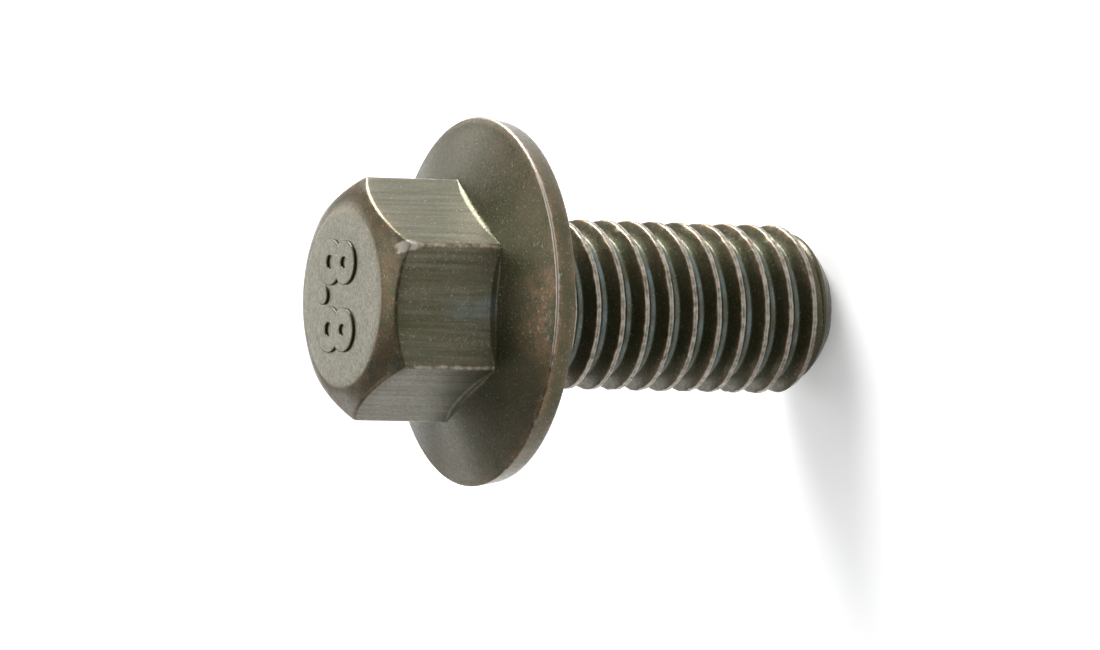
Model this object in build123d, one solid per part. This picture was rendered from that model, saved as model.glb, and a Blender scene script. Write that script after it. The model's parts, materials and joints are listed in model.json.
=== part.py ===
from build123d import *
from math import atan, ceil, cos, degrees, radians, tan
import os

# An M8 x 16 hexagon flange bolt of the small series, cold headed and thread rolled in one piece.
# It is drawn along its own axis, with the bearing face at z = 0, the thread towards +z and the head
# towards -z. It is then stood on the flat end of its point, with the head up.

# Thread, M8 x 1.25 right-handed
THREAD_MAJOR_DIAMETER = 7.84
THREAD_PITCH = 1.25
THREAD_DEPTH = 0.63
THREAD_CREST_FLAT = 0.24
FLANK_HALF_ANGLE = 30.0
THREAD_START_ANGLE = 305.0    # where the full groove begins, about the bolt axis
GROOVE_OVERCUT = 0.10         # how far the groove cutter stands proud of the crest

# Shank
SHANK_LENGTH = 16.35          # bearing face to end of bolt
NECK_DIAMETER = 7.08          # rolled blank between head and thread
NECK_LENGTH = 1.75
RUN_OUT_ANGLE = 40.0          # cone from the neck up to the first crest
RUN_OUT_TURNS = 0.5           # the groove rises out of the neck over this part of a turn
UNDERHEAD_BREAK = 0.35        # sloped corner between the bearing face and the neck
POINT_LENGTH = 1.7            # the point narrows in two steps, with a break between them
POINT_BREAK_LENGTH = 0.78
POINT_BREAK_DIAMETER = 6.56
POINT_FACE_DIAMETER = 4.7

# Flange
FLANGE_DIAMETER = 16.96
FLANGE_CONE_ANGLE = 21.0      # slope of the upper side
RIM_THICKNESS = 1.17          # bearing face to the ridge at the flange's largest diameter
RIM_TAPER_ANGLE = 10.0        # the rim narrows towards the bearing face
RIM_EDGE_BREAK = 0.1
BEARING_EDGE_BREAK = 0.18

# Hexagon
ACROSS_FLATS = 9.7
HEAD_HEIGHT = 7.85            # bearing face to the top of the head
HEX_EDGE_RADIUS = 0.3
HEX_TURN = 30.0               # turn of the hexagon about the bolt axis
CROWN_FACE_DIAMETER = 7.92    # flat middle of the top
CROWN_BREAK_DIAMETER = 9.64   # the crowned chamfer steepens here
CROWN_INNER_ANGLE = 22.5
CROWN_OUTER_ANGLE = 39.0

FRONT_TURN = 147.0            # turn of the standing bolt that brings its front to -Y

NODE = "flange_bolt"

major_radius = THREAD_MAJOR_DIAMETER / 2
minor_radius = major_radius - THREAD_DEPTH
neck_radius = NECK_DIAMETER / 2
flange_radius = FLANGE_DIAMETER / 2
rim_low_radius = flange_radius - (RIM_THICKNESS - BEARING_EDGE_BREAK) * tan(radians(RIM_TAPER_ANGLE))
corner_radius = ACROSS_FLATS / 2 / cos(radians(30))

# radius and height of each corner of the point, from the last full crest to the end face
point_corners = [
    (major_radius, SHANK_LENGTH - POINT_LENGTH),
    (POINT_BREAK_DIAMETER / 2, SHANK_LENGTH - POINT_BREAK_LENGTH),
    (POINT_FACE_DIAMETER / 2, SHANK_LENGTH),
]


def turned_blank():
    """Flange, neck, shank and point as one turned body, before the thread is rolled."""
    cone_rise = (flange_radius - neck_radius) * tan(radians(FLANGE_CONE_ANGLE))
    run_out = (major_radius - neck_radius) / tan(radians(RUN_OUT_ANGLE))
    ridge = (flange_radius, -RIM_THICKNESS)
    under_head = (neck_radius, 0)
    outline = Polyline(
        (0, -RIM_THICKNESS - cone_rise),
        (neck_radius, -RIM_THICKNESS - cone_rise),
        ridge,
        (rim_low_radius, -BEARING_EDGE_BREAK),
        (rim_low_radius - BEARING_EDGE_BREAK, 0),
        under_head,
        (neck_radius, NECK_LENGTH),
        (major_radius, NECK_LENGTH + run_out),
        *point_corners,
        (0, SHANK_LENGTH),
        close=True,
    )
    section = make_face(outline)
    for corner, size in ((ridge, RIM_EDGE_BREAK), (under_head, UNDERHEAD_BREAK)):
        section = chamfer(section.vertices().sort_by_distance(Vector(*corner))[0], size)
    return revolve(Plane.XZ * section, axis=Axis.Z)


def groove_sides(radius, height, turns, cone_angle=0):
    """The four helical sides of one stretch of the groove cutter, and its two flat ends."""
    outer = THREAD_DEPTH + GROOVE_OVERCUT
    half_root = (THREAD_PITCH - THREAD_CREST_FLAT) / 2 - THREAD_DEPTH * tan(radians(FLANK_HALF_ANGLE))
    half_mouth = half_root + outer * tan(radians(FLANK_HALF_ANGLE))
    corners = [(0, -half_root), (outer, -half_mouth), (outer, half_mouth), (0, half_root)]
    rise = THREAD_PITCH * turns
    edges = []
    for out, along in corners:
        helix = Helix(THREAD_PITCH, rise, radius + out, (0, 0, height + along), cone_angle=cone_angle)
        edges.append(helix.edge())
    sides = [Face.make_surface_from_curves(edges[i - 1], edges[i]) for i in range(4)]
    ends = [Face(Wire.make_polygon([edge @ end for edge in edges])) for end in (0, 1)]
    return sides, ends


def full_groove():
    """The groove cutter at full depth, turn after turn from the neck to past the end."""
    sides, ends = groove_sides(minor_radius, NECK_LENGTH, 1)
    turns = ceil((SHANK_LENGTH - NECK_LENGTH) / THREAD_PITCH) + 1
    faces = [Pos(0, 0, THREAD_PITCH * turn) * side for turn in range(turns) for side in sides]
    far_end = Pos(0, 0, THREAD_PITCH * (turns - 1)) * ends[1]
    return Solid(Shell(faces + [ends[0], far_end]))


def run_out_groove():
    """The first part of a turn, where the groove climbs out of the neck."""
    rise = THREAD_PITCH * RUN_OUT_TURNS
    start_radius = neck_radius + GROOVE_OVERCUT
    cone_angle = degrees(atan((start_radius - minor_radius) / rise))
    sides, ends = groove_sides(start_radius, NECK_LENGTH - rise, RUN_OUT_TURNS, -cone_angle)
    return Rot(0, 0, -360 * RUN_OUT_TURNS) * Solid(Shell(sides + ends))


def hexagon():
    """The wrenching hexagon with its crowned top, reaching down into the flange."""
    outline = RegularPolygon(ACROSS_FLATS / 2, 6, major_radius=False)
    prism = extrude(Pos(0, 0, -HEAD_HEIGHT) * outline, HEAD_HEIGHT - RIM_THICKNESS)
    prism = fillet(prism.edges().filter_by(Axis.Z), HEX_EDGE_RADIUS)

    face_radius = CROWN_FACE_DIAMETER / 2
    break_radius = CROWN_BREAK_DIAMETER / 2
    break_height = (break_radius - face_radius) * tan(radians(CROWN_INNER_ANGLE)) - HEAD_HEIGHT
    corner_height = (corner_radius - break_radius) * tan(radians(CROWN_OUTER_ANGLE)) + break_height
    crown = Polyline(
        (0, -HEAD_HEIGHT),
        (face_radius, -HEAD_HEIGHT),
        (break_radius, break_height),
        (corner_radius, corner_height),
        (corner_radius, 0),
        (0, 0),
        close=True,
    )
    return Rot(0, 0, HEX_TURN) * (prism & revolve(Plane.XZ * make_face(crown), axis=Axis.Z))


def build_bolt():
    """The blank with its thread rolled in and the hexagon headed onto it."""
    bolt = turned_blank()
    for groove in (full_groove(), run_out_groove()):
        bolt = bolt - Rot(0, 0, THREAD_START_ANGLE) * groove
    return bolt + hexagon()


def stand_up(bolt):
    """The bolt on the flat end of its point, with its axis over the origin."""
    return Rot(0, 0, FRONT_TURN) * Pos(0, 0, SHANK_LENGTH) * Rot(180, 0, 0) * bolt


bolt = build_bolt()
os.makedirs("parts", exist_ok=True)
export_step(stand_up(bolt), "parts/" + NODE + ".step")
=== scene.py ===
import json
import math
import bmesh
import bpy
from mathutils import Matrix, Vector, noise


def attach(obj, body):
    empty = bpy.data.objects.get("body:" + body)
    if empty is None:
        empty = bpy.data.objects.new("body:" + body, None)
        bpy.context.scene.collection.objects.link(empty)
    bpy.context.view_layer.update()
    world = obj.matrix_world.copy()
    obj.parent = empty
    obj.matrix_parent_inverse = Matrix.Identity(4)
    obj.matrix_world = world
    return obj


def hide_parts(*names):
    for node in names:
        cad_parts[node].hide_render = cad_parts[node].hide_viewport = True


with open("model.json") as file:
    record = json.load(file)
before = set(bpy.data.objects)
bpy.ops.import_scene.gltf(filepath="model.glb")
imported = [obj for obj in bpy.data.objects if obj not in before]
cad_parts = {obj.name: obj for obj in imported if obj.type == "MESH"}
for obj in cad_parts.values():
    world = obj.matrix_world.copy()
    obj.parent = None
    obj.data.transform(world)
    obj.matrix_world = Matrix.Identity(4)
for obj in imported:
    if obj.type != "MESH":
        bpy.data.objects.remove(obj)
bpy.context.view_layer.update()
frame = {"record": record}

mounts = {mount["name"]: mount for mount in frame["record"]["mounts"]}
seatHeight = mounts["seat"]["pos_m"][2] * 1000  # bearing face above the floor, mm

# lengths are in mm, angles in degrees and heights above the bearing face
head = {
    "frontTurn": 147.0,          # the bolt's own zero about Z
    "hexCorner": 30.0,
    "acrossFlats": 9.7,
    "cornerRadius": 0.3,
    "faceRadius": 3.96,          # flat middle of the top
    "faceHeight": 7.75,          # the numerals stand 0.1 higher
    "crownSlope": (0.207, 0.241),
    "topRings": (2.6, 3.5),
    "crownShares": (0.08, 0.2, 0.4, 0.6, 0.8, 0.92),  # where rings lie, from the top face to the edge
    "edgeInset": (0.08, 0.025),
    "edgeRound": 0.1,
    "flatShares": (0.15, 0.4, 0.7, 1.0),
    "footRadius": 0.38,          # blend from the hexagon to the flange
    "footAtCorner": (0.2, 14),   # share of that radius left at a corner, whole again this far from it
    "footSteps": 6,
    "coneAngle": 21.0,
    "coneShares": (0.15, 0.35, 0.6, 0.8, 0.93),
    "coneHollow": 0.02,
    "coneInset": 0.15,
    "ridge": (8.463, 1.1),
    "cornerWear": 3.2,           # degrees each side of a corner
    "columns": [0, 0.4, 0.8, 1.2, 1.56, 2.3, 3.6, 5.5, 8, 11, 14.5, 18, 22, 26],
    # (radius, height, wear and painted highlight, warm) over the ridge, down the rim and along the bearing face to
    # the neck
    "rim": [(8.33, 1.135, 0.1, 0.5), (8.40, 1.12, 1.3, 0.5), (8.445, 1.09, 1.5, 0.3),
            (8.461, 1.05, 1.5, 0.3), (8.455, 0.99, 0.8, 0.8), (8.41, 0.75, 0, 0.3),
            (8.35, 0.42, 0, 0.1), (8.305, 0.18, 0.15, 0.4), (8.26, 0.07, 0.3, 0.3)],
    "bearing": [(8.125, 0.0, 0.2, 0), (7.0, 0, 0, 0), (5.0, 0, 0, 0), (3.95, 0, 0, 0),
                (3.78, -0.03, 0, 0), (3.64, -0.12, 0, 0), (3.56, -0.25, 0, 0)],
    "neckTop": -0.4,
}

# where the head is worn and where highlights are painted on it: heights, radii, the middle of the place about Z,
# half its width, and its soft edge
headWearAndHighlights = {
    "scored": {"height": (2.6, 7.3), "radius": (4.8, 5.7)},
    # painted highlight on one stretch of the flange ridge, over its wear
    "ridgeWearAndHighlight": {"height": (0.9, 1.2), "middle": -45, "half": 75, "soft": 35, "least": 0.4},
    # painted highlight: a pale patch on one side of the flange cone, with a rust-brown tint
    "flangeHighlightPatch": {"height": (1.15, 2.0), "radius": (6.6, 8.35), "middle": -94,
                    "half": 17, "soft": 8, "wearAndHighlight": 0.52, "warmHalf": 20, "warmSoft": 10, "warm": 0.6},
    # a teal tint in the middle of one hex flat
    "tealSpot": {"height": (2.4, 4.3), "radius": (0, 5.7), "middle": -94, "half": 8, "soft": 5, "cool": 0.8},
    # a chipped hex corner: bare metal with a painted glint
    "chipAndGlintCorner": {"height": (6.55, 7.35), "radius": (5.1, 9), "middle": -63, "half": 5, "soft": 3, "wearAndHighlight": 1.2},
}


def between(value, low, high):
    t = max(0.0, min(1.0, (value - low) / (high - low)))
    return t * t * (3 - 2 * t)


def along(points, x):
    for (x0, y0), (x1, y1) in zip(points, points[1:]):
        if x <= x1:
            return y0 + (y1 - y0) * max(0.0, (x - x0) / (x1 - x0))
    return points[-1][1]


def turned(radius, degrees, depth):  # depth runs from the bearing face towards the point
    angle = math.radians(degrees)
    return Vector((radius * math.cos(angle), radius * math.sin(angle), seatHeight - depth))


def hexRadius(offset):  # offset in degrees from the nearest corner
    apothem, rounding = head["acrossFlats"] / 2, head["cornerRadius"]
    halfSide = math.radians(30)
    centre = (apothem - rounding) / math.cos(halfSide)
    tangent = math.degrees(math.atan2(rounding * 0.5, centre + rounding * math.cos(halfSide)))
    a = math.radians(abs(offset))
    if abs(offset) < tangent:
        return centre * math.cos(a) + math.sqrt(rounding ** 2 - (centre * math.sin(a)) ** 2)
    return apothem / math.cos(halfSide - a)


def crownRows(flat, cornerWear):  # from the middle of the top face to the edge of the hexagon
    top, face, (inset, edgeStep) = head["faceHeight"], head["faceRadius"], head["edgeInset"]
    a, b = head["crownSlope"]
    drop = lambda r: a * (r - face) + b * (r - face) ** 2
    rows = [(r, top, 0, 0) for r in head["topRings"]]
    rows += [(face - 0.12, top, 0.1, 0), (face, top - 0.012, 0.25, 0.2)]
    for share in head["crownShares"]:
        r = face + (flat - inset - face) * share
        rows.append((r, top - drop(r), 0.12 * cornerWear, 0.35))
    edge, e = top - drop(flat - inset), head["edgeRound"]
    rows += [(flat - inset, edge, 0.5, 0.5), (flat - edgeStep, edge - 0.55 * e, 0.55, 0.3)]
    return rows + [(flat, edge - 1.5 * e, 0.35, 0)]


def headOutline(offset):  # one column of the head, top face to neck, as (radius, height, wear and painted highlight, warm)
    flat, cornerWear = hexRadius(offset), between(head["cornerWear"] - abs(offset), 0, head["cornerWear"])
    rows = crownRows(flat, cornerWear)
    low, slope = rows[-1][1], math.radians(head["coneAngle"])
    least, whole = head["footAtCorner"]
    foot = head["footRadius"] * (least + (1 - least) * between(abs(offset), 0, whole))
    ridgeR, ridgeH = head["ridge"]
    coneAt = lambda r: ridgeH + (ridgeR - r) * math.tan(slope)
    reach = foot / math.tan(math.radians(90 + head["coneAngle"]) / 2)
    corner = coneAt(flat)
    for share in head["flatShares"]:
        rows.append((flat, low + (corner + reach - low) * share, 0.8 * cornerWear, 0.3 * cornerWear))
    turn = math.radians(90) - slope
    for k in range(1, head["footSteps"] + 1):
        t = turn * k / head["footSteps"]
        rows.append((flat + foot * (1 - math.cos(t)), corner + reach - foot * math.sin(t), 0, 0))
    footR = rows[-1][0]
    for share in head["coneShares"]:
        r = footR + (ridgeR - head["coneInset"] - footR) * share
        rows.append((r, coneAt(r) - head["coneHollow"] * math.sin(share * math.pi), 0, 0.15 * share))
    return rows + head["rim"] + head["bearing"] + [(shank["neck"], head["neckTop"], 0, 0)]


# a sleeve of faces round Z, one unit between rows, climbing by turns rows each time round
def addSkin(bm, columns, rows, turns=0):
    verts = [bm.verts.new((1, 0, row)) for row in range(rows)]
    edges = [bm.edges.new(pair) for pair in zip(verts, verts[1:])]
    lift = Vector((0, 0, turns / columns))
    bmesh.ops.spin(bm, geom=verts + edges, cent=(0, 0, 0), axis=(0, 0, 1), dvec=lift, angle=math.tau,
                   steps=columns, use_merge=turns == 0)
    bmesh.ops.remove_doubles(bm, verts=bm.verts[:], dist=1e-4)


def cornerOffsets():
    half = head["columns"]
    return half + [30] + [60 - x for x in reversed(half[1:])]


def inPlace(place, height, r):
    low, high = place["height"]
    inner, outer = place.get("radius", (0, 9))
    return low < height < high and inner < r < outer


def nearness(place, degrees, half="half", soft="soft"):  # 1 in the middle of the place, 0 outside it
    away = abs((degrees - place["middle"] + 180) % 360 - 180)
    return between(place[half] - away, 0, place[soft])


def makeHead():
    bm = bmesh.new()
    first = head["frontTurn"] - head["hexCorner"]
    angles = [60 * side + offset for side in range(6) for offset in cornerOffsets()]
    outlines = [headOutline(min(a % 60, 60 - a % 60)) for a in angles]
    addSkin(bm, len(angles), len(outlines[0]))
    wearAndHighlight, warm, brushed, cool = (bm.verts.layers.float.new(name) for name in ("wearAndHighlight", "warm", "brushed", "cool"))
    ridge, patch, tealSpotPlace = headWearAndHighlights["ridgeWearAndHighlight"], headWearAndHighlights["flangeHighlightPatch"], headWearAndHighlights["tealSpot"]
    chipAndGlintCorner = headWearAndHighlights["chipAndGlintCorner"]
    step = 360 / len(angles)
    for v in bm.verts:
        column = round(math.degrees(math.atan2(v.co.y, v.co.x)) / step) % len(angles)
        r, height, wearAndHighlightLevel, brown = outlines[column][round(v.co.z)]
        around = first + angles[column]
        v.co = turned(r, around, -height)
        v[wearAndHighlight], v[warm] = wearAndHighlightLevel, brown
        v[brushed] = float(inPlace(headWearAndHighlights["scored"], height, r))
        if inPlace(ridge, height, r):  # the ridge keeps a share of its wear all round, and one stretch is a painted highlight
            v[wearAndHighlight] = wearAndHighlightLevel * (ridge["least"] + (1 - ridge["least"]) * nearness(ridge, around))
        # painted highlight on the flange cone, and its rust-brown tint
        if inPlace(patch, height, r):
            v[wearAndHighlight] = patch["wearAndHighlight"] * nearness(patch, around)
            v[warm] = max(brown, patch["warm"] * nearness(patch, around, "warmHalf", "warmSoft"))
        if inPlace(tealSpotPlace, height, r):
            v[cool] = tealSpotPlace["cool"] * nearness(tealSpotPlace, around)
        # the chipped corner, bare metal with a painted glint
        if inPlace(chipAndGlintCorner, height, r):
            v[wearAndHighlight] = max(v[wearAndHighlight], chipAndGlintCorner["wearAndHighlight"] * nearness(chipAndGlintCorner, around))
    top = [e for e in bm.edges if e.is_boundary and all(v.co.z > seatHeight + 5 for v in e.verts)]
    bmesh.ops.edgeloop_fill(bm, edges=top)
    print("head made:", len(bm.faces), "faces")
    return bm


# depths run from the bearing face towards the point
shank = {
    "pitch": 1.25,
    "crest": 3.92,
    "root": 3.29,
    "neck": 3.54,
    "start": 305.0,              # where the groove begins about Z
    "neckEnd": 1.75,
    "crestRise": 0.45,           # the crest climbs out of the neck over this depth
    "grooveIn": (1.3, 2.4),      # the groove sinks to its root between these depths
    "length": 16.35,
    "topCut": 0.6,               # the head's own neck goes on above this depth
    "threads": 16,               # more than show, because both ends are cut off
    "columns": 144,
    "nick": 0.07,                # deepest nick in a crest
    "nickNoise": (2.3, 7, 0.35), # coarse and fine, and the share of the fine one
    "crestShare": 0.9,           # of the thread's height, where nicks begin
    "fadingBelow": 10,           # the last crest goes down on the point below this depth
    "leastWear": 0.1,
    "sheenFlank": (0.78, 0.1),    # the side of the groove with a painted teal sheen, in mm along a pitch
    "sheenDepths": (2.2, 14.7),
    "point": [(14.5, 3.92), (14.8, 3.86), (15.2, 3.61), (15.57, 3.28), (15.95, 2.9), (16.25, 2.53), (16.35, 2.35)],
    # (place along one pitch from the middle of the groove, share of the thread's height, wear and painted
    # highlight, warm); the pale crest band is worn bare metal and a painted crest highlight
    "section": [(0.0, 0.0, 0, 0), (0.09, 0.0, 0, 0), (0.14, 0.02, 0, 0), (0.18, 0.08, 0, 0), (0.32, 0.49, 0, 0),
                (0.45, 0.85, 0.1, 0.3), (0.49, 0.95, 0.6, 0.9), (0.52, 0.99, 1, 0.4), (0.57, 1.0, 1, 0),
                (0.625, 0.96, 0.8, 0), (0.68, 1.0, 1, 0), (0.73, 0.99, 1, 0), (0.76, 0.95, 0.7, 0.1),
                (0.80, 0.85, 0.15, 0), (0.93, 0.49, 0, 0), (1.07, 0.08, 0, 0), (1.11, 0.02, 0, 0),
                (1.16, 0.0, 0, 0)],
}


def shankLimits(depth):  # lowest and highest radius of the shank at this depth
    risen = max(0.0, min(1.0, (depth - shank["neckEnd"]) / shank["crestRise"]))
    crest = shank["neck"] + (shank["crest"] - shank["neck"]) * risen
    if depth > shank["point"][0][0]:
        crest = along(shank["point"], depth)
    root = shank["neck"] + (shank["root"] - shank["neck"]) * between(depth, *shank["grooveIn"])
    return min(root, crest), crest


def makeShank():
    bm = bmesh.new()
    section, columns, pitch = shank["section"], shank["columns"], shank["pitch"]
    n = len(section)
    addSkin(bm, columns, shank["threads"] * n + 1, turns=n)
    wearAndHighlight, warm, cool = (bm.verts.layers.float.new(name) for name in ("wearAndHighlight", "warm", "cool"))
    tall = shank["crest"] - shank["root"]
    coarse, fine, fineShare = shank["nickNoise"]
    sheenAfter, sheenBefore = shank["sheenFlank"]
    for v in bm.verts:
        column = round(math.degrees(math.atan2(v.co.y, v.co.x)) % 360 / (360 / columns)) % columns
        row = round(v.co.z - column * n / columns)
        place, share, wearAndHighlightLevel, brown = section[row % n]
        phi = column * 360 / columns
        depth = shank["neckEnd"] + pitch * (phi - shank["start"]) / 360 + pitch * (row // n - 1) + place
        low, high = shankLimits(depth)
        r = shank["root"] + tall * share
        if share > shank["crestShare"]:
            spot = turned(r, phi, depth)
            r -= shank["nick"] * max(0.0, noise.noise(spot * coarse) + fineShare * noise.noise(spot * fine))
        full = high > shank["crest"] - 0.05
        r = max(low, min(high, r))
        v.co = turned(r, head["frontTurn"] - phi, depth)
        fading = depth > shank["fadingBelow"] and share > 0.6 and r > low + 0.04
        v[wearAndHighlight] = wearAndHighlightLevel if full or fading else shank["leastWear"]
        v[warm] = brown
        # painted sheen: a teal tint on one flank of the groove
        onFlank = place > sheenAfter or place < sheenBefore
        v[cool] = float(onFlank and shank["sheenDepths"][0] < depth < shank["sheenDepths"][1])
    for depth, normal in ((shank["topCut"], (0, 0, 1)), (shank["length"], (0, 0, -1))):
        bmesh.ops.bisect_plane(bm, geom=bm.verts[:] + bm.edges[:] + bm.faces[:], dist=1e-6,
                               plane_co=(0, 0, seatHeight - depth), plane_no=normal, clear_outer=True)
    end = [e for e in bm.edges if e.is_boundary and all(v.co.z < 0.01 for v in e.verts)]
    bmesh.ops.edgeloop_fill(bm, edges=end)
    print("shank made:", len(bm.faces), "faces")
    return bm


def finishPiece(bm, name, material):
    bmesh.ops.remove_doubles(bm, verts=bm.verts[:], dist=1e-4)
    bmesh.ops.recalc_face_normals(bm, faces=bm.faces[:])
    bmesh.ops.transform(bm, matrix=Matrix.Scale(0.001, 4), verts=bm.verts[:])  # mm to metres
    mesh = bpy.data.meshes.new(name)
    bm.to_mesh(mesh)
    bm.free()
    for polygon in mesh.polygons:
        polygon.use_smooth = len(polygon.vertices) < 8  # the flat ends stay flat
    piece = bpy.data.objects.new(name, mesh)
    bpy.context.scene.collection.objects.link(piece)
    mesh.materials.append(material)
    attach(piece, "root")
    return piece


def group(name, inputs, outputs):
    tree = bpy.data.node_groups.new(name, "ShaderNodeTree")
    for label, kind, value in inputs:
        socket = tree.interface.new_socket(label, in_out="INPUT", socket_type=kind)
        socket.default_value = value
    for label in outputs:
        tree.interface.new_socket(label, in_out="OUTPUT", socket_type="NodeSocketFloat")
    return tree, tree.nodes.new("NodeGroupInput"), tree.nodes.new("NodeGroupOutput")


def addNoise(tree, scale, detail, stretch=None):
    place = tree.nodes.new("ShaderNodeTexCoord").outputs["Object"]
    if stretch:
        mapping = tree.nodes.new("ShaderNodeMapping")
        mapping.inputs["Scale"].default_value = stretch
        tree.links.new(place, mapping.inputs["Vector"])
        place = mapping.outputs[0]
    texture = tree.nodes.new("ShaderNodeTexNoise")
    texture.inputs["Scale"].default_value = scale
    texture.inputs["Detail"].default_value = detail
    tree.links.new(place, texture.inputs["Vector"])
    return texture.outputs["Fac"]


def addRange(tree, value, low, high, toLow=0.0, toHigh=1.0):
    ranged = tree.nodes.new("ShaderNodeMapRange")
    for slot, number in zip(("From Min", "From Max", "To Min", "To Max"), (low, high, toLow, toHigh)):
        ranged.inputs[slot].default_value = number
    tree.links.new(value, ranged.inputs["Value"])
    return ranged.outputs[0]


def addMath(tree, kind, a, b):
    node = tree.nodes.new("ShaderNodeMath")
    node.operation = kind
    for socket, value in zip(node.inputs, (a, b)):
        if isinstance(value, (int, float)):
            socket.default_value = value
        else:
            tree.links.new(value, socket)
    return node.outputs[0]


def addMix(tree, factor, a, b):
    node = tree.nodes.new("ShaderNodeMix")
    node.data_type = "RGBA"
    tree.links.new(factor, node.inputs["Factor"])
    for socket, value in zip((node.inputs[6], node.inputs[7]), (a, b)):  # the two colour sockets
        if isinstance(value, tuple):
            socket.default_value = (*value, 1)
        else:
            tree.links.new(value, socket)
    return node.outputs[2]


def addAttribute(tree, name):
    node = tree.nodes.new("ShaderNodeAttribute")
    node.attribute_name = name
    return node.outputs["Fac"]


speckleNoise = {  # scale, detail, low and high end, stretch
    "Grain": (11000, 4, 0.60, 0.74, None),
    "Pits": (6500, 4, 0.30, 0.60, None),
    "Patch": (420, 4, 0.38, 0.64, None),
    "Lines": (3800, 3, 0.35, 0.68, (1, 1, 0.06)),
}

wearNoise = {  # scale and detail, and the two ends where they are needed
    "ragged": (3600, 5),
    "bareAndHighlight": (0.60, 1.10),
    "warm": (1500, 3, 0.35, 0.65),
    "cool": (900, 3, 0.3, 0.7),
}


def buildSpeckle():  # bright grains, dark pits, slow patches of tone and lines scored up the flats
    tree, _, out = group("steelSpeckle", [], list(speckleNoise))
    for label, (scale, detail, low, high, stretch) in speckleNoise.items():
        tree.links.new(addRange(tree, addNoise(tree, scale, detail, stretch), low, high), out.inputs[label])
    return tree


def buildEdgeWear():  # breaks the worn places and the painted highlights up, so that they are ragged and not clean lines
    tree, into, out = group("wearAndHighlightMasks", [("Ragged", "NodeSocketFloat", 0.5)], ["Bare", "Warm", "Brushed", "Cool"])
    ragged = addMath(tree, "SUBTRACT", addNoise(tree, *wearNoise["ragged"]), 0.5)
    ragged = addMath(tree, "MULTIPLY", ragged, into.outputs["Ragged"])
    bareAndHighlight = addMath(tree, "ADD", addAttribute(tree, "wearAndHighlight"), ragged)
    tree.links.new(addRange(tree, bareAndHighlight, *wearNoise["bareAndHighlight"]), out.inputs["Bare"])
    for name in ("warm", "cool"):
        scale, detail, low, high = wearNoise[name]
        broken = addRange(tree, addNoise(tree, scale, detail), low, high)
        toned = addMath(tree, "MULTIPLY", addAttribute(tree, name), broken)
        tree.links.new(toned, out.inputs[name.capitalize()])
    tree.links.new(addAttribute(tree, "brushed"), out.inputs["Brushed"])
    return tree


finish = {
    "olive": (0.050, 0.049, 0.018),
    "brown": (0.070, 0.060, 0.030),
    "rust": (0.20, 0.105, 0.05),
    "teal": (0.13, 0.19, 0.20),
    "tealShare": 0.7,
    "grain": (0.36, 0.34, 0.27),
    "grainShare": 0.55,
    "scoredShare": 0.16,
    # pale bare metal; the painted highlights use this colour too
    "bareAndHighlight": (0.35, 0.31, 0.255),
    "ragged": 1.3,
    "roughness": (0.30, 0.46),   # in a pit, and between pits
    "bump": 0.16,
    "bumpDistance": 0.00002,
    "scoredHeight": 0.8,         # against the pits
    "metallic": 0.7,
    "coat": 0.14,
    "coatRoughness": 0.22,
}


def makeOliveSteel(name):
    material = bpy.data.materials.new(name)
    material.use_nodes = True
    tree = material.node_tree
    shader = tree.nodes["Principled BSDF"]
    speckle, wearAndHighlightNode = tree.nodes.new("ShaderNodeGroup"), tree.nodes.new("ShaderNodeGroup")
    speckle.node_tree, wearAndHighlightNode.node_tree = steelSpeckle, wearAndHighlightMasks
    wearAndHighlightNode.inputs["Ragged"].default_value = finish["ragged"]
    colour = addMix(tree, speckle.outputs["Patch"], finish["olive"], finish["brown"])
    colour = addMix(tree, wearAndHighlightNode.outputs["Warm"], colour, finish["rust"])
    # teal: a painted sheen on the thread flanks, and a tint on one hex flat
    cool = addMath(tree, "MULTIPLY", wearAndHighlightNode.outputs["Cool"], finish["tealShare"])
    colour = addMix(tree, cool, colour, finish["teal"])
    scored = addMath(tree, "MULTIPLY", speckle.outputs["Lines"], wearAndHighlightNode.outputs["Brushed"])
    colour = addMix(tree, addMath(tree, "MULTIPLY", scored, finish["scoredShare"]), colour, finish["grain"])
    grain = addMath(tree, "MULTIPLY", speckle.outputs["Grain"], finish["grainShare"])
    colour = addMix(tree, grain, colour, finish["grain"])
    # worn bare metal, and the painted highlights on the ridge, the flange patch, a chipped corner and the crests
    colour = addMix(tree, wearAndHighlightNode.outputs["Bare"], colour, finish["bareAndHighlight"])
    tree.links.new(colour, shader.inputs["Base Color"])
    shader.inputs["Metallic"].default_value = finish["metallic"]
    shader.inputs["Coat Weight"].default_value = finish["coat"]
    shader.inputs["Coat Roughness"].default_value = finish["coatRoughness"]
    inPit, outside = finish["roughness"]
    tree.links.new(addRange(tree, speckle.outputs["Pits"], 0, 1, outside, inPit), shader.inputs["Roughness"])
    raised = addMath(tree, "MULTIPLY", scored, finish["scoredHeight"])
    bump = tree.nodes.new("ShaderNodeBump")
    bump.inputs["Strength"].default_value = finish["bump"]
    bump.inputs["Distance"].default_value = finish["bumpDistance"]
    tree.links.new(addMath(tree, "ADD", speckle.outputs["Pits"], raised), bump.inputs["Height"])
    tree.links.new(bump.outputs[0], shader.inputs["Normal"])
    return material


steelSpeckle, wearAndHighlightMasks = buildSpeckle(), buildEdgeWear()
oliveSteel = makeOliveSteel("oliveSteel")
print("materials made")


def makeBolt():
    bm, other = makeHead(), makeShank()
    loose = bpy.data.meshes.new("shankPart")
    other.to_mesh(loose)
    other.free()
    bm.from_mesh(loose)
    bpy.data.meshes.remove(loose)
    rims = [e for e in bm.edges if e.is_boundary]
    bmesh.ops.bridge_loops(bm, edges=rims)
    bolt = finishPiece(bm, "flangeBoltBody", oliveSteel)
    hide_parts("flange_bolt")
    return bolt


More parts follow.
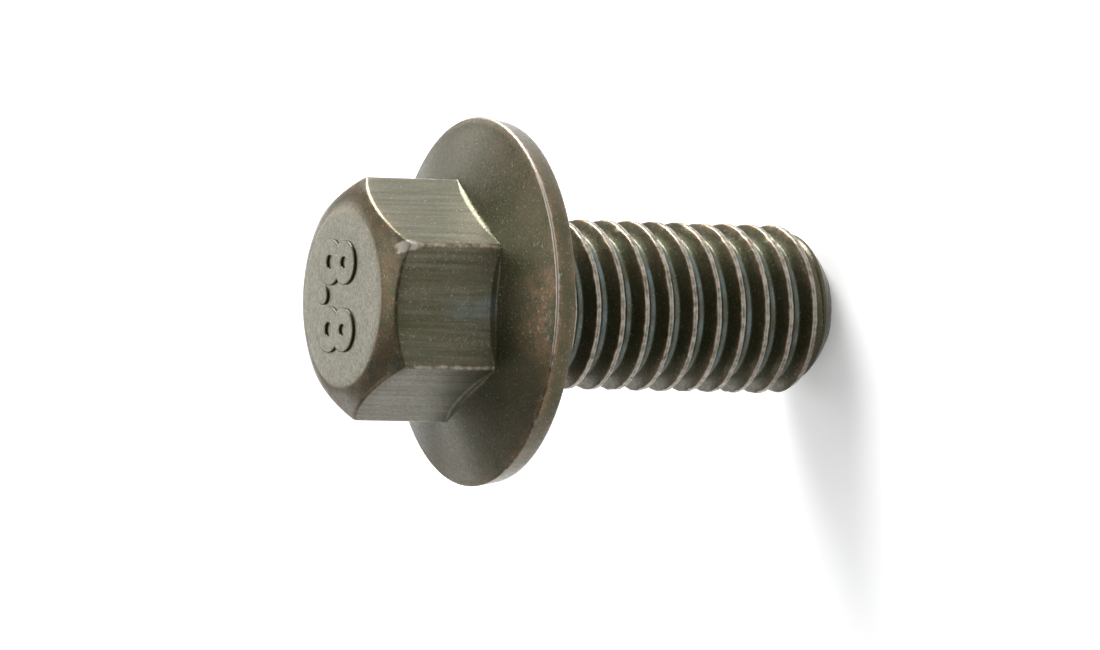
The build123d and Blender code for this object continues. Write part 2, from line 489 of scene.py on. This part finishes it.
mark = {
    "words": "8.8",
    "length": 5.2,
    "height": 3.7,
    "raised": 0.1,
    "sunk": 0.05,                # goes this far into the top face
    "centre": (0.1, 0.5),
    "round": 0.03,
    "roundSteps": 2,
    "bolder": 0.012,
    "spacing": 1.03,
    "curveSteps": 6,
    "wearAndHighlight": 0.3,
}


def makeMark():  # the strength class stands up from the top face and reads towards -X
    text = bpy.data.curves.new("strengthText", "FONT")
    text.body = mark["words"]
    text.extrude, text.bevel_depth, text.bevel_resolution = mark["raised"], mark["round"], mark["roundSteps"]
    text.resolution_u, text.offset, text.space_character = mark["curveSteps"], mark["bolder"], mark["spacing"]
    carrier = bpy.data.objects.new("strengthCarrier", text)
    bpy.context.scene.collection.objects.link(carrier)
    bpy.context.view_layer.update()
    mesh = bpy.data.meshes.new_from_object(carrier.evaluated_get(bpy.context.evaluated_depsgraph_get()))
    bpy.data.objects.remove(carrier)
    bm = bmesh.new()
    bm.from_mesh(mesh)
    bpy.data.meshes.remove(mesh)
    low = Vector(min(v.co[i] for v in bm.verts) for i in range(3))
    high = Vector(max(v.co[i] for v in bm.verts) for i in range(3))
    size, middle = high - low, (high + low) / 2
    top = seatHeight + head["faceHeight"] + mark["raised"]
    for v in bm.verts:
        x = (v.co.x - middle.x) / size.x * mark["length"]
        y = (v.co.y - middle.y) / size.y * mark["height"]
        z = (v.co.z - high.z) / size.z * (mark["raised"] + mark["sunk"])
        v.co = Vector((mark["centre"][0] - x, mark["centre"][1] - y, top + z))
    wearAndHighlight = bm.verts.layers.float.new("wearAndHighlight")
    for v in bm.verts:
        v[wearAndHighlight] = mark["wearAndHighlight"] if v.co.z > top - 0.02 else 0
    return finishPiece(bm, "strengthMark", oliveSteel)


bolt = makeBolt()
strengthMark = makeMark()
print("bolt made:", len(bolt.data.polygons), "faces; mark:", len(strengthMark.data.polygons))

view = {
    "elevation": 27.19, "azimuth": -0.05, "roll": -88.58,
    "aim": (-0.98, -1.18, 14.05), "distance": 434.27, "lens": 310.2, "sensor": 36, "nearest": 0.01,
}


def addCamera():
    camera = bpy.data.cameras.new("camera")
    camera.lens, camera.sensor_width, camera.clip_start = view["lens"], view["sensor"], view["nearest"]
    holder = bpy.data.objects.new("camera", camera)
    bpy.context.scene.collection.objects.link(holder)
    elevation, azimuth = math.radians(view["elevation"]), math.radians(view["azimuth"])
    level = math.cos(elevation)
    forward = Vector((math.sin(azimuth) * level, math.cos(azimuth) * level, -math.sin(elevation)))
    roll = Matrix.Rotation(math.radians(view["roll"]), 3, "Z")
    turn = forward.to_track_quat("-Z", "Y").to_matrix() @ roll
    place = (Vector(view["aim"]) - forward * view["distance"]) / 1000
    holder.matrix_world = Matrix.Translation(place) @ turn.to_4x4()
    bpy.context.scene.camera = holder


studio = {
    "floorHalf": 3,              # m
    "floorColour": (0.95, 0.95, 0.95, 1),
    "floorRoughness": 0.9,
    "floorSpecular": 0.1,
    "floorGlow": 0.30,           # what the camera and reflections see on top of the lamps' light
    "sky": (0.97, 0.98, 1.0, 1),
    "skyStrength": 0.29,
    "lampAim": (0, 0, 0.014),
}


def addFloor():
    bm = bmesh.new()
    bmesh.ops.create_grid(bm, x_segments=1, y_segments=1, size=studio["floorHalf"])
    mesh = bpy.data.meshes.new("floor")
    bm.to_mesh(mesh)
    bm.free()
    floor = bpy.data.objects.new("floor", mesh)
    bpy.context.scene.collection.objects.link(floor)
    material = bpy.data.materials.new("paleFloor")
    material.use_nodes = True
    tree = material.node_tree
    shader = tree.nodes["Principled BSDF"]
    shader.inputs["Base Color"].default_value = studio["floorColour"]
    shader.inputs["Roughness"].default_value = studio["floorRoughness"]
    shader.inputs["Specular IOR Level"].default_value = studio["floorSpecular"]
    shader.inputs["Emission Color"].default_value = (1, 1, 1, 1)
    ray = tree.nodes.new("ShaderNodeLightPath")
    seen = addMath(tree, "MAXIMUM", ray.outputs["Is Camera Ray"], ray.outputs["Is Glossy Ray"])
    glow = addMath(tree, "MULTIPLY", seen, studio["floorGlow"])
    tree.links.new(glow, shader.inputs["Emission Strength"])
    mesh.materials.append(material)


lamps = {  # place in mm, size in m, power in W
    "top": {"place": (60, 60, 330), "size": 0.26, "power": 0.36},
    "backGlow": {"place": (30, 290, 170), "size": 0.20, "power": 0.31},
    "side": {"place": (290, 130, 80), "size": 0.22, "power": 2.5},
    "low": {"place": (-230, 90, 170), "size": 0.16, "power": 0.06},
    "lowGlow": {"place": (-140, 295, 110), "size": 0.11, "power": 0.06},
}


def addLamps():
    for name, setting in lamps.items():
        lamp = bpy.data.lights.new(name, "AREA")
        lamp.shape, lamp.size, lamp.energy = "DISK", setting["size"], setting["power"]
        holder = bpy.data.objects.new(name, lamp)
        bpy.context.scene.collection.objects.link(holder)
        place = Vector(setting["place"]) / 1000
        toBolt = Vector(studio["lampAim"]) - place
        holder.matrix_world = Matrix.Translation(place) @ toBolt.to_track_quat("-Z", "Y").to_matrix().to_4x4()
    world = bpy.data.worlds.new("studio")
    bpy.context.scene.world = world
    world.use_nodes = True
    background = world.node_tree.nodes["Background"]
    background.inputs["Color"].default_value = studio["sky"]
    background.inputs["Strength"].default_value = studio["skyStrength"]


addCamera()
addFloor()
addLamps()
bpy.context.scene.view_settings.view_transform = "Standard"
print("camera, floor and lamps set")
